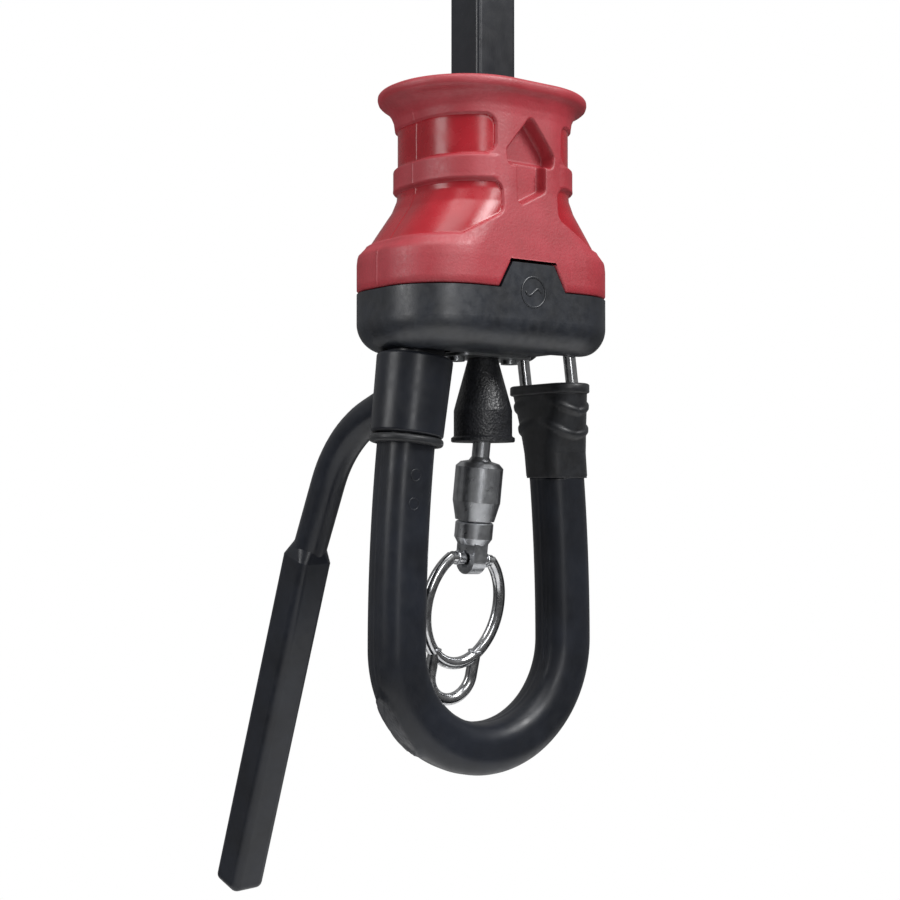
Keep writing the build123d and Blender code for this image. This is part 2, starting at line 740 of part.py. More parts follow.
root = finger_point(9.8, -15.5)
bend = finger_point(33.0, -24.5)
wrist = finger_point(50.5, -64.0)
tip = finger_point(88.0, -176.0)
wrist_len = 5.0
finger_end_r = 3.0
along = (tip - wrist).normalized()
with BuildPart() as finger:
    with BuildSketch(cuff_plane):
        Circle(cuff_foot_d / 2)
    with BuildSketch(cuff_plane.offset(cuff_rise)):
        Circle(cuff_top_d / 2)
    loft()
    fillet(finger.edges().filter_by(GeomType.CIRCLE), 1.0)
    with BuildLine() as finger_path:
        FilletPolyline(root, bend, wrist, radius=finger_bend)
    with BuildSketch(Plane(root, z_dir=(bend - root))):
        Circle(finger_d / 2)
    sweep()
    with BuildSketch(cuff_plane.offset(-1)):
        Circle(cuff_bore / 2)
    extrude(amount=cuff_rise + 2, mode=Mode.SUBTRACT)
    wrist_x = heading.cross(Vector(0, 0, 1))
    with BuildSketch(Plane(wrist - along * wrist_len, x_dir=wrist_x, z_dir=along)):
        RectangleRounded(finger_d - 0.6, finger_d - 0.6, finger_d / 2 - 0.4)
    with BuildSketch(Plane(wrist, x_dir=wrist_x, z_dir=along)):
        RectangleRounded(finger_w, finger_w, 2.6)
    loft()
    with BuildSketch(Plane(wrist, x_dir=wrist_x, z_dir=along)):
        RectangleRounded(finger_w, finger_w, 2.6)
    extrude(amount=(tip - wrist).length)
    fillet(finger.faces().sort_by(Axis.Z)[0].outer_wire().edges(), finger_end_r - 0.6)
keep("finger", finger.part)

bead_h = 2.4
with BuildPart() as cuff_stop:
    with BuildSketch(leg_plane(-1, cuff_foot - slide_gap - bead_h, cuff_foot)):
        Circle(cuff_foot_d / 2 + 0.2)
        RectangleRounded(loop_w + 0.1, loop_w + 0.1, loop_corner + 0.05, mode=Mode.SUBTRACT)
    extrude(amount=bead_h)
    outer_rims = cuff_stop.edges().filter_by(GeomType.CIRCLE).filter_by(lambda edge: edge.radius > loop_w / 2)
    fillet(outer_rims, bead_h * 0.42)
keep("cuff_stop", cuff_stop.part)

# ---- safety cone and swivel ----
ball_room = 0.3
mouth_r = ball_joint_d / 2 - 0.3
with BuildPart() as safety_cone:
    with BuildSketch(Plane.XZ):
        with BuildLine():
            Polyline(
                (0, up(5)),
                (cone_top_d / 2 - 0.2, up(5)),
                (cone_top_d / 2 - 0.2, up(-plate_t - 0.2)),
                (cone_top_d / 2, up(-plate_t - 1.2)),
                (cone_d / 2 - 0.3, up(-16)),
                (cone_d / 2, up(-17.2)),
                (cone_d / 2, up(cone_foot + 1.9)),
                (cone_lip_d / 2, up(cone_foot + 1.3)),
                (cone_lip_d / 2, up(cone_foot + 0.3)),
                (cone_lip_d / 2 - 0.3, up(cone_foot)),
                (0, up(cone_foot)),
                close=True,
            )
        make_face()
    revolve(axis=Axis.Z)
    with Locations((0, 0, up(swivel_z))):
        Sphere(ball_joint_d / 2 + ball_room, mode=Mode.SUBTRACT)
    with BuildSketch(Plane.XY.offset(up(cone_foot - 1))):
        Circle(mouth_r)
    extrude(amount=swivel_z - cone_foot, mode=Mode.SUBTRACT)
    with BuildSketch(Plane.XY.offset(up(cone_foot + 9))):
        Circle(safety_d / 2)
    extrude(amount=30, mode=Mode.SUBTRACT)
keep("safety_cone", safety_cone.part)

swivel_at = Vector(0, 0, up(swivel_z))
axis_up = Vector(sin(radians(swivel_lean)), -sin(radians(swivel_back)), 1).normalized()
side_way = Vector(axis_up.Z, 0, -axis_up.X).normalized()
swivel_side = Plane(swivel_at, x_dir=side_way, z_dir=side_way.cross(axis_up))
swivel_axis = Axis(swivel_at, axis_up)
neck_d = 5.6
shaft_d = 5.0
stem_head_d = 9.6
room_d = 10.2


def turned(points):
    """Solid turned about the swivel's axis, from (radius, height above the ball joint) points."""
    with BuildPart() as body:
        with BuildSketch(swivel_side):
            with BuildLine():
                Polyline(*points, close=True)
            make_face()
        revolve(axis=swivel_axis)
    return body.part


barrel_top = -9.8
barrel_turn = -22.6
barrel_foot = -28.5
room_top = -13.0
barrel_body = turned([
    (0, 0), (neck_d / 2, 0), (neck_d / 2, barrel_top + 1.2), (neck_d / 2 + 0.8, barrel_top),
    (barrel_d / 2 - 1.4, barrel_top - 0.6), (barrel_d / 2, barrel_top - 2.0),
    (barrel_d / 2, barrel_turn), (barrel_foot_d / 2, barrel_foot),
    (room_d / 2, barrel_foot), (room_d / 2, room_top), (0, room_top),
])
with BuildPart() as swivel_barrel:
    add(barrel_body)
    with Locations(swivel_at):
        Sphere(ball_joint_d / 2)
keep("swivel_barrel", swivel_barrel.part)

head_t = 2.0
stem_top = room_top - 0.4
bearing_d = 2.0
run = 0.1
bearing_z = stem_top - head_t - run - bearing_d / 2
cap_top = bearing_z - bearing_d / 2
cap_bore = shaft_d + 2 * pin_gap
collar_gap = 0.5
collar_top = barrel_foot - collar_gap
collar_foot = collar_top - 5.6
keep("swivel_cap", turned([
    (cap_bore / 2, cap_top), (room_d / 2, cap_top), (room_d / 2, barrel_foot), (cap_bore / 2, barrel_foot),
]))
stem_body = turned([
    (0, stem_top), (stem_head_d / 2, stem_top), (stem_head_d / 2, stem_top - head_t),
    (shaft_d / 2, stem_top - head_t), (shaft_d / 2, collar_top), (collar_d / 2 - 0.4, collar_top),
    (collar_d / 2, collar_top - 0.4), (collar_d / 2, collar_foot + 0.6),
    (tongue_w / 2, collar_foot - 1.4), (0, collar_foot - 1.4),
])
tongue_plane = Plane(swivel_at, x_dir=side_way.cross(axis_up), z_dir=-side_way)
with BuildPart() as swivel_stem:
    add(stem_body)
    with BuildSketch(tongue_plane.offset(-tongue_t / 2)):
        with Locations((0, -eye_drop)):
            Circle(tongue_w / 2)
        with Locations((0, (collar_foot - 1 - eye_drop) / 2)):
            Rectangle(tongue_w, eye_drop + collar_foot - 1)
    extrude(amount=tongue_t)
    with BuildSketch(tongue_plane.offset(-tongue_t)):
        with Locations((0, -eye_drop)):
            Circle(eye_d / 2)
    extrude(amount=2 * tongue_t, mode=Mode.SUBTRACT)
keep("swivel_stem", swivel_stem.part)

with BuildPart() as swivel_balls:
    ball_plane = Plane(swivel_at + axis_up * bearing_z, x_dir=side_way, z_dir=axis_up)
    with Locations(ball_plane):
        with PolarLocations((shaft_d + stem_head_d) / 4, 9):
            Sphere(bearing_d / 2)
keep("swivel_balls", swivel_balls.part)

# ---- leash ring ----
eye_at = swivel_at - axis_up * eye_drop
ring_up = Vector(sin(radians(ring_lean)), -sin(radians(ring_back)), 1).normalized()
ring_side = Vector(ring_up.Z, 0, -ring_up.X).normalized()
ring_plane = Plane(eye_at, x_dir=ring_side, z_dir=ring_side.cross(ring_up))
bar_half = ring_half * sqrt(1 - (ring_drop / ring_tall) ** 2)
elbow_angle = degrees(asin(ring_drop / ring_tall))
foot_at = ring_drop + ring_tall * sqrt(1 - (bow_half / ring_half) ** 2)


def ring_rod(path):
    """Round rod along a path in the ring's plane."""
    with BuildPart() as rod:
        with BuildSketch(Plane(path @ 0, z_dir=path % 0)):
            Circle(ring_d / 2)
        sweep(path=path)
    return rod.part


with BuildLine(ring_plane) as bow_line:
    EllipticalCenterArc((0, -ring_drop), ring_half, ring_tall,
                        start_angle=180 - elbow_angle, arc_size=180 + 2 * elbow_angle)
ring_bow = ring_rod(bow_line.wires()[0])
keep("leash_ring_bow", ring_bow)

with BuildLine(ring_plane) as bar_line:
    Line((-bar_half, 0), (bar_half, 0))
ring_bar = ring_rod(bar_line.wires()[0]) - ring_bow
keep("leash_ring_bar", ring_bar)

with BuildLine(ring_plane) as lower_line:
    Line((bow_half, -foot_at), (bow_half, -bow_drop))
    CenterArc((0, -bow_drop), bow_half, 180, 180)
    Line((-bow_half, -bow_drop), (-bow_half, -foot_at))
ring_lower = ring_rod(lower_line.wires()[0]) - ring_bow
keep("leash_ring_lower_bow", ring_lower)
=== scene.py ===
"""Kite quick release with harness loop: its looks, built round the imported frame."""
import json
import math

import bmesh
import bpy
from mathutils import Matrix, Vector


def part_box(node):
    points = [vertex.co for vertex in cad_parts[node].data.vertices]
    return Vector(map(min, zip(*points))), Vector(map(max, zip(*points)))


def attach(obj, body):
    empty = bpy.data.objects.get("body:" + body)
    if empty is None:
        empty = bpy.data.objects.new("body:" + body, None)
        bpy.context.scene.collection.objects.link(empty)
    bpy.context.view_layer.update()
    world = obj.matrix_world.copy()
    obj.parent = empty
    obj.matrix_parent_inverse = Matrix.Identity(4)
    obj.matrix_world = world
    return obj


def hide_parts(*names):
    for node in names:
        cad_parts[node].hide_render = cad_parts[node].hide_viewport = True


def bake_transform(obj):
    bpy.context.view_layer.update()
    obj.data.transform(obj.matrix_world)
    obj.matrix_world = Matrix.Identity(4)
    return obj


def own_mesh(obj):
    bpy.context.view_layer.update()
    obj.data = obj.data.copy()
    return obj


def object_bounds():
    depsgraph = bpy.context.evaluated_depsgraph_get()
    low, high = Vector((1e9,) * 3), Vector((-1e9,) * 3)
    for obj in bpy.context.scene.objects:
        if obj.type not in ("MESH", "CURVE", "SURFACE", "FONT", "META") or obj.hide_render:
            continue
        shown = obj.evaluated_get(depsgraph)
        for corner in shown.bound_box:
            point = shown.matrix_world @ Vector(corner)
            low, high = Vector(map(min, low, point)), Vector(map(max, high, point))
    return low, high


bl_info = {
    "name": "Kite Quick Release",
    "version": (1, 0, 0),
    "blender": (4, 5, 0),
    "location": "3D View > Sidebar > Release",
    "description": "Adds the sleeve, loop, boot, lines and finishes of a kite quick release",
    "category": "Add Mesh",
}

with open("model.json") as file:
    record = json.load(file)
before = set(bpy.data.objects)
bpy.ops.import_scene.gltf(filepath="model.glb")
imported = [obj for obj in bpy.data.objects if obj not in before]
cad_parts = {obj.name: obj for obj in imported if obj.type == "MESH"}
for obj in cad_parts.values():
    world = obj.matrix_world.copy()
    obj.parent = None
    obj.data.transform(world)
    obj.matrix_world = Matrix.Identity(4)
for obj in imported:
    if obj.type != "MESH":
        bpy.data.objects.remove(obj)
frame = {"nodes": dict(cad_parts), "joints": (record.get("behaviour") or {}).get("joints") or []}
CAD_LOW, CAD_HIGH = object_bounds()

MM = 0.001
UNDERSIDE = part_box("bottom_plate")[1].z          # housing's flat underside
HOUSING_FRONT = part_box("base_housing")[0].y
LOOP_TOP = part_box("loop_tube_end")[1].z
FLOOR_DROP = 0.25
FLOOR_REACH = 0.6

# Loop, in mm; heights are over the housing's underside.
LEG_HALF = 32.5
BOW_HEIGHT = -89.5
LEG_TOP = 4.0
LEG_LEAN = 7.5
LOOP_HALF = 8.0
LOOP_CORNER = 6.0

# Sleeve, in mm.
SEAM = 18.4
TAB_RISE = 8.2
TAB_HALF_TOP = 8.3
TAB_SIDE_RUN = 4.6
RIM = (31.4, 24.4, 23.9)
SKIRT = (40.0, 25.0, 20.0)


# ---- colour and node helpers ----
def linear(hex_colour):
    """sRGB hex to the linear colour that shaders take."""
    values = [int(hex_colour[i:i + 2], 16) / 255 for i in (1, 3, 5)]
    return tuple(v / 12.92 if v <= 0.04045 else ((v + 0.055) / 1.055) ** 2.4 for v in values) + (1.0,)


def add_node(tree, kind, settings=None, values=None, links=None):
    """Adds one node, sets its properties and sockets, and links what feeds it."""
    node = tree.nodes.new(kind)
    for key, value in (settings or {}).items():
        setattr(node, key, value)
    for key, value in (values or {}).items():
        node.inputs[key].default_value = value
    for key, (source, output) in (links or {}).items():
        tree.links.new(source.outputs[output], node.inputs[key])
    return node


def new_material(name, base, roughness, metallic=0.0, ior=1.5, coat=0.0, coat_roughness=0.1, sheen=0.0):
    """Empty material with its shader; gives the material, the tree and the shader."""
    material = bpy.data.materials.new(name)
    material.use_nodes = True
    material.diffuse_color = linear(base)
    tree = material.node_tree
    shader = tree.nodes["Principled BSDF"]
    shader.inputs["Base Color"].default_value = linear(base)
    shader.inputs["Roughness"].default_value = roughness
    shader.inputs["Metallic"].default_value = metallic
    shader.inputs["Coat Weight"].default_value = coat
    shader.inputs["Coat Roughness"].default_value = coat_roughness
    shader.inputs["Sheen Weight"].default_value = sheen
    if not metallic:
        shader.inputs["IOR"].default_value = ior
    return material, tree, shader


def vary_colour(tree, shader, dark, light, patch_mm):
    """Slow mottling between two close colours; gives the texture coordinates for more patterns."""
    place = add_node(tree, "ShaderNodeTexCoord")
    patches = add_node(tree, "ShaderNodeTexNoise", values={"Scale": 1000 / patch_mm, "Detail": 3.0},
                       links={"Vector": (place, "Object")})
    ramp = add_node(tree, "ShaderNodeValToRGB", links={"Fac": (patches, "Fac")})
    ramp.color_ramp.elements[0].position = 0.35
    ramp.color_ramp.elements[0].color = linear(dark)
    ramp.color_ramp.elements[1].position = 0.65
    ramp.color_ramp.elements[1].color = linear(light)
    tree.links.new(ramp.outputs["Color"], shader.inputs["Base Color"])
    return place


def vary_roughness(tree, shader, place, grain_mm, low, high):
    """Small changes of gloss over the surface."""
    grain = add_node(tree, "ShaderNodeTexNoise", values={"Scale": 1000 / grain_mm, "Detail": 4.0},
                     links={"Vector": (place, "Object")})
    spread = add_node(tree, "ShaderNodeMapRange", values={"From Min": 0.3, "From Max": 0.7, "To Min": low,
                                                         "To Max": high}, links={"Value": (grain, "Fac")})
    tree.links.new(spread.outputs["Result"], shader.inputs["Roughness"])


def bump_grain(tree, shader, place, grain_mm, height_mm, strength=1.0, pits=False):
    """Surface grain of a real size, as bumps or as pits."""
    kind, height = ("ShaderNodeTexVoronoi", "Distance") if pits else ("ShaderNodeTexNoise", "Fac")
    grain = add_node(tree, kind, values={"Scale": 1000 / grain_mm}, links={"Vector": (place, "Object")})
    if not pits:
        grain.inputs["Detail"].default_value = 2.0
    bump = add_node(tree, "ShaderNodeBump", values={"Strength": strength, "Distance": height_mm * MM},
                    links={"Height": (grain, height)})
    tree.links.new(bump.outputs["Normal"], shader.inputs["Normal"])


# ---- materials, named for what they are ----
def spark_textured_red_nylon():
    # Moulded in a spark-eroded tool: a fine even grit that breaks up the highlights.
    material, tree, shader = new_material("spark_textured_red_nylon", looks().red, 0.5, ior=1.85)
    place = vary_colour(tree, shader, "#A01C2A", "#AB2433", 9.0)
    vary_roughness(tree, shader, place, 1.2, 0.46, 0.62)
    bump_grain(tree, shader, place, 0.75, 0.085, 0.8)
    return material


def polished_red_nylon():
    # Same nylon against a polished tool: smooth, glossy and a little deeper in colour.
    material, tree, shader = new_material("polished_red_nylon", looks().red, 0.24, ior=1.52)
    place = vary_colour(tree, shader, "#9A1420", "#AA1E2A", 12.0)
    vary_roughness(tree, shader, place, 5.0, 0.2, 0.32)
    bump_grain(tree, shader, place, 3.5, 0.02, 0.5)
    return material


def satin_black_nylon():
    # Glass-filled nylon, satin, with faint scuffs that lighten it.
    material, tree, shader = new_material("satin_black_nylon", looks().black, 0.42, ior=1.75)
    place = vary_colour(tree, shader, "#14171D", "#1D2129", 7.0)
    vary_roughness(tree, shader, place, 2.5, 0.34, 0.5)
    bump_grain(tree, shader, place, 0.6, 0.03, 0.6)
    return material


def moulded_urethane(name, dark, light, low, high):
    # Cast urethane: silky, with slow waves from the mould.
    material, tree, shader = new_material(name, dark, 0.38, ior=1.48, sheen=0.05)
    place = vary_colour(tree, shader, dark, light, 14.0)
    vary_roughness(tree, shader, place, 3.0, low, high)
    bump_grain(tree, shader, place, 1.6, 0.035, 0.5)
    return material


def soft_black_rubber():
    # Dipped rubber: low gloss with a fine dusty grain.
    material, tree, shader = new_material("soft_black_rubber", "#16171A", 0.5, ior=1.5, sheen=0.1)
    place = vary_colour(tree, shader, "#141518", "#1E2024", 4.0)
    vary_roughness(tree, shader, place, 1.5, 0.36, 0.52)
    bump_grain(tree, shader, place, 0.7, 0.05, 0.6)
    return material


def pebbled_black_plastic():
    # Coarse spark texture on the safety cone, which glitters in the light.
    material, tree, shader = new_material("pebbled_black_plastic", "#191A1D", 0.4, ior=1.52)
    place = vary_colour(tree, shader, "#151619", "#212226", 3.0)
    vary_roughness(tree, shader, place, 0.9, 0.3, 0.48)
    bump_grain(tree, shader, place, 0.8, 0.14, 0.9, pits=True)
    return material


def anodised_tube():
    # Hard-coated tube: dark, even, with a soft metallic streak along it.
    material, tree, shader = new_material("hard_coated_tube", "#26282D", 0.34, ior=1.5, coat=0.15)
    place = vary_colour(tree, shader, "#15171C", "#1C1F26", 20.0)
    vary_roughness(tree, shader, place, 4.0, 0.28, 0.4)
    bump_grain(tree, shader, place, 1.0, 0.012, 0.5)
    return material


def blasted_stainless():
    # Cast stainless, bead blasted: grey, matt, with pits and rubbed patches.
    material, tree, shader = new_material("bead_blasted_stainless", "#BFC1C4", 0.42, metallic=1.0)
    place = vary_colour(tree, shader, "#B6B8BC", "#D0D2D5", 4.0)
    vary_roughness(tree, shader, place, 1.5, 0.27, 0.38)
    bump_grain(tree, shader, place, 0.45, 0.03, 0.7)
    return material


def polished_stainless():
    # Drawn rod, tumbled bright: mirror-like with soft waves.
    material, tree, shader = new_material("polished_stainless", "#CFD0D2", 0.17, metallic=1.0)
    place = vary_colour(tree, shader, "#BEBFC2", "#DDDEDF", 3.0)
    vary_roughness(tree, shader, place, 1.6, 0.12, 0.25)
    bump_grain(tree, shader, place, 1.8, 0.03, 0.5)
    return material


def brushed_stainless():
    # Sheet stainless with a fine one-way brush.
    material, tree, shader = new_material("brushed_stainless", "#9D9FA1", 0.3, metallic=1.0)
    place = add_node(tree, "ShaderNodeTexCoord")
    stretch = add_node(tree, "ShaderNodeMapping", values={"Scale": (1.0, 14.0, 14.0)},
                       links={"Vector": (place, "Object")})
    lines = add_node(tree, "ShaderNodeTexNoise", values={"Scale": 1000 / 6.0, "Detail": 4.0},
                     links={"Vector": (stretch, "Vector")})
    spread = add_node(tree, "ShaderNodeMapRange", values={"To Min": 0.22, "To Max": 0.42},
                      links={"Value": (lines, "Fac")})
    tree.links.new(spread.outputs["Result"], shader.inputs["Roughness"])
    bump = add_node(tree, "ShaderNodeBump", values={"Strength": 0.4, "Distance": 0.02 * MM},
                    links={"Height": (lines, "Fac")})
    tree.links.new(bump.outputs["Normal"], shader.inputs["Normal"])
    return material


def braided_line(name, dark, light, pitch_mm):
    # Braided polyester: two crossing sets of strands, drawn a little coarser so that they show.
    material, tree, shader = new_material(name, dark, 0.75, ior=1.5, sheen=0.35)
    place = add_node(tree, "ShaderNodeTexCoord")
    waves = []
    for turn in (0.75, -0.75):
        tilt = add_node(tree, "ShaderNodeMapping", values={"Rotation": (0.0, turn, 0.0)},
                        links={"Vector": (place, "Object")})
        waves.append(add_node(tree, "ShaderNodeTexWave", {"bands_direction": "Z"},
                              {"Scale": 1000 / pitch_mm / 20, "Distortion": 0.6, "Detail": 1.0},
                              {"Vector": (tilt, "Vector")}))
    cross = add_node(tree, "ShaderNodeMath", {"operation": "MAXIMUM"}, {},
                     {0: (waves[0], "Fac"), 1: (waves[1], "Fac")})
    # Painted shade: the colour follows the strands' height, darker in the grooves between them where shade
    # falls.
    ramp = add_node(tree, "ShaderNodeValToRGB", links={"Fac": (cross, "Value")})
    ramp.color_ramp.elements[0].color = linear(dark)
    ramp.color_ramp.elements[1].color = linear(light)
    tree.links.new(ramp.outputs["Color"], shader.inputs["Base Color"])
    bump = add_node(tree, "ShaderNodeBump", values={"Strength": 0.8, "Distance": 0.25 * MM},
                    links={"Height": (cross, "Value")})
    tree.links.new(bump.outputs["Normal"], shader.inputs["Normal"])
    return material


def studio_paper():
    # Seamless paper sweep: pale, matt, with hardly any mottle.
    material, tree, shader = new_material("studio_paper", "#F4F4F4", 0.9)
    vary_colour(tree, shader, "#F1F1F1", "#F7F7F7", 300.0)
    return material


FINISHES = {}


def finish_of(name):
    """Each finish is made once, when it is first asked for."""
    makers = {
        "textured_red": spark_textured_red_nylon,
        "polished_red": polished_red_nylon,
        "black_nylon": satin_black_nylon,
        "loop_urethane": lambda: moulded_urethane("cast_black_urethane", "#12151C", "#1A1E27", 0.32, 0.44),
        "finger_urethane": lambda: moulded_urethane("cast_blue_black_urethane", "#12151C", "#191D26", 0.28,
                                                    0.4),
        "rubber": soft_black_rubber,
        "cone": pebbled_black_plastic,
        "tube": anodised_tube,
        "blasted": blasted_stainless,
        "polished": polished_stainless,
        "brushed": brushed_stainless,
        "line": lambda: braided_line("braided_grey_line", "#5A5D61", "#94979B", 1.2),
        "red_line": lambda: braided_line("braided_red_line", "#6E1016", "#B02A30", 1.1),
        "paper": studio_paper,
    }
    if name not in FINISHES:
        FINISHES[name] = makers[name]()
    return FINISHES[name]


def looks():
    return bpy.context.scene.release_looks


# ---- mesh helpers ----
def make_piece(name, points, faces, finishes, face_finish=None):
    """Mesh object from points in metres, with its finishes."""
    mesh = bpy.data.meshes.new(name)
    mesh.from_pydata([tuple(p) for p in points], [], faces)
    mesh.update()
    piece = bpy.data.objects.new(name, mesh)
    bpy.context.collection.objects.link(piece)
    for finish in finishes:
        mesh.materials.append(finish_of(finish))
    if face_finish:
        mesh.polygons.foreach_set("material_index", face_finish)
    clean = bmesh.new()
    clean.from_mesh(mesh)
    bmesh.ops.recalc_face_normals(clean, faces=clean.faces)
    clean.to_mesh(mesh)
    clean.free()
    mesh.polygons.foreach_set("use_smooth", [True] * len(mesh.polygons))
    return piece


def smooth_step(low, high, value):
    share = min(1.0, max(0.0, (value - low) / (high - low)))
    return share * share * (3 - 2 * share)


def rounded_section(half_x, half_y, corner, per_corner, per_side):
    """Points round a rounded rectangle, counter-clockwise from its +X side."""
    points = []
    corners = [(1, 1, 0), (-1, 1, 90), (-1, -1, 180), (1, -1, 270)]
    for index, (sx, sy, start) in enumerate(corners):
        centre = (sx * (half_x - corner), sy * (half_y - corner))
        for step in range(per_corner + 1):
            angle = math.radians(start + 90 * step / per_corner)
            points.append((centre[0] + corner * math.cos(angle), centre[1] + corner * math.sin(angle)))
        following = corners[(index + 1) % 4]
        after = (following[0] * (half_x - corner), following[1] * (half_y - corner))
        turn = math.radians(following[2])
        goal = (after[0] + corner * math.cos(turn), after[1] + corner * math.sin(turn))
        last = points[-1]
        for step in range(1, per_side):
            share = step / per_side
            points.append((last[0] + (goal[0] - last[0]) * share, last[1] + (goal[1] - last[1]) * share))
    return points


def tube_faces(rings, count, closed_ends=True):
    """Quads between rings of the same count, with a cap on each end."""
    faces = []
    for ring in range(rings - 1):
        for step in range(count):
            here = ring * count + step
            beside = ring * count + (step + 1) % count
            faces.append((here, beside, beside + count, here + count))
    if closed_ends:
        faces.append(tuple(range(count))[::-1])
        faces.append(tuple(range((rings - 1) * count, rings * count)))
    return faces


# ---- release sleeve ----
def outline_at(height):
    """Half sizes and corner of the sleeve's outside at a height over the underside, in mm."""
    rows = [
        (SEAM, *SKIRT), (27.0, *SKIRT), (29.6, 39.7, 24.9, 20.0),
        (32.0, 37.25, 24.8, 20.0), (38.0, 33.0, 24.5, 20.0), (44.0, 28.7, 24.15, 20.0),
        (48.0, 26.9, 24.0, 20.0), (52.0, 26.5, 24.0, 20.0), (70.5, 26.5, 24.0, 20.0),
        (73.0, 27.1, 24.2, 20.6), (75.0, 28.6, 24.8, 22.2), (76.4, 30.6, 25.5, 24.0),
        (77.3, 32.8, 26.4, 25.6), (77.9, 33.6, 26.8, 26.2), (78.8, 34.0, 27.0, 26.5),
        (79.8, 34.0, 27.0, 26.5), (80.5, 33.5, 26.5, 26.0), (80.9, 32.6, 25.6, 25.1),
        (81.0, *RIM),
    ]
    for low, high in zip(rows, rows[1:]):
        if height <= high[0]:
            share = max(0.0, (height - low[0]) / (high[0] - low[0]))
            return tuple(a + (b - a) * share for a, b in zip(low[1:], high[1:]))
    return rows[-1][1:]


ROUNDING = 1.5
ARROW = [(-3.5, 45.6), (3.9, 49.4), (3.9, 57.6), (7.2, 57.6), (7.4, 59.2), (0.0, 68.2), (-7.4, 59.2),
         (-7.2, 57.0), (-3.7, 57.0)]
UPPER_PANEL = [(16.2, 61.6), (60.0, 61.6), (60.0, 66.4), (16.2, 66.4)]
LOWER_PANEL = [(14.2, 42.8), (26.0, 36.6), (60.0, 36.6), (60.0, 46.6), (14.2, 46.6)]


def signed_distance(point, outline):
    """Distance to an outline, negative inside."""
    x, z = point
    nearest = 1e9
    inside = False
    for (ax, az), (bx, bz) in zip(outline, outline[1:] + outline[:1]):
        ex, ez = bx - ax, bz - az
        share = max(0.0, min(1.0, ((x - ax) * ex + (z - az) * ez) / (ex * ex + ez * ez)))
        nearest = min(nearest, math.hypot(x - ax - ex * share, z - az - ez * share))
        if (az > z) != (bz > z) and x < ax + (z - az) * ex / ez:
            inside = not inside
    return -nearest if inside else nearest


def sleeve_columns():
    """Shares of the way round the sleeve, close together where the arrow is."""
    columns = []
    place = 0.0
    while place < 1.0:
        columns.append(place)
        away = abs(place - 0.75)
        if abs(place - 0.5) < 0.006:
            place += 0.001
        elif away < 0.075:
            place += 0.0015
        elif away < 0.16:
            place += 0.0025
        else:
            place += 0.005
    return columns


def along_outline(share, half_x, half_y, corner):
    """Point and outward direction at a share of the way round, from the middle of the +X side."""
    sides = [half_y - corner, math.pi / 2 * corner, 2 * (half_x - corner), math.pi / 2 * corner,
             2 * (half_y - corner), math.pi / 2 * corner, 2 * (half_x - corner), math.pi / 2 * corner,
             half_y - corner]
    left = share * sum(sides)
    for index, length in enumerate(sides):
        if left <= length or index == 8:
            break
        left -= length
    ix, iy = half_x - corner, half_y - corner
    if index % 2 == 0:
        starts = [(half_x, 0, 0, 1), (ix, half_y, -1, 0), (-half_x, iy, 0, -1), (-ix, -half_y, 1, 0),
                  (half_x, -iy, 0, 1)]
        x, y, dx, dy = starts[index // 2]
        return Vector((x + dx * left, y + dy * left)), Vector((dy, -dx))
    quarter = index // 2
    angle = math.radians(90 * quarter) + left / corner
    cx = (ix, -ix, -ix, ix)[quarter]
    cy = (iy, iy, -iy, -iy)[quarter]
    out = Vector((math.cos(angle), math.sin(angle)))
    return Vector((cx, cy)) + out * corner, out


def sleeve_relief(x, y, height):
    """How far the surface lies in from the plain outline, in mm, and whether it is polished."""
    side = abs(x)
    depth = 0.0
    polished = False
    if y < 0:
        arrow = signed_distance((x, height), ARROW) - ROUNDING
        wall = smooth_step(0.45, -0.55, arrow)
        step = 0.25 * smooth_step(57.6, 56.4, height)
        depth = looks().arrow_depth / MM * (1 - step) * wall
    for panel in (UPPER_PANEL, LOWER_PANEL):
        gap = signed_distance((side, height), panel) - 3.6
        polished = polished or gap < -0.1
        depth = max(depth, 0.9 * smooth_step(0.25, -0.3, gap))
    if x < -20:
        # Where the two halves of the mould met.
        depth -= 0.16 * smooth_step(0.5, 0.1, abs(y))
    if 50.4 < height < 57.8:
        lift = smooth_step(50.3, 51.0, height) * smooth_step(57.9, 57.2, height)
        depth -= 0.5 * lift * smooth_step(11.0, 14.5, side)
    return depth, polished


def tab_notch(x, y):
    """How far the sleeve's lower edge is raised to clear the housing's front tab."""
    if y > 0:
        return 0.0
    return max(0.0, TAB_RISE * (1 - max(0.0, abs(x) - TAB_HALF_TOP) / TAB_SIDE_RUN))


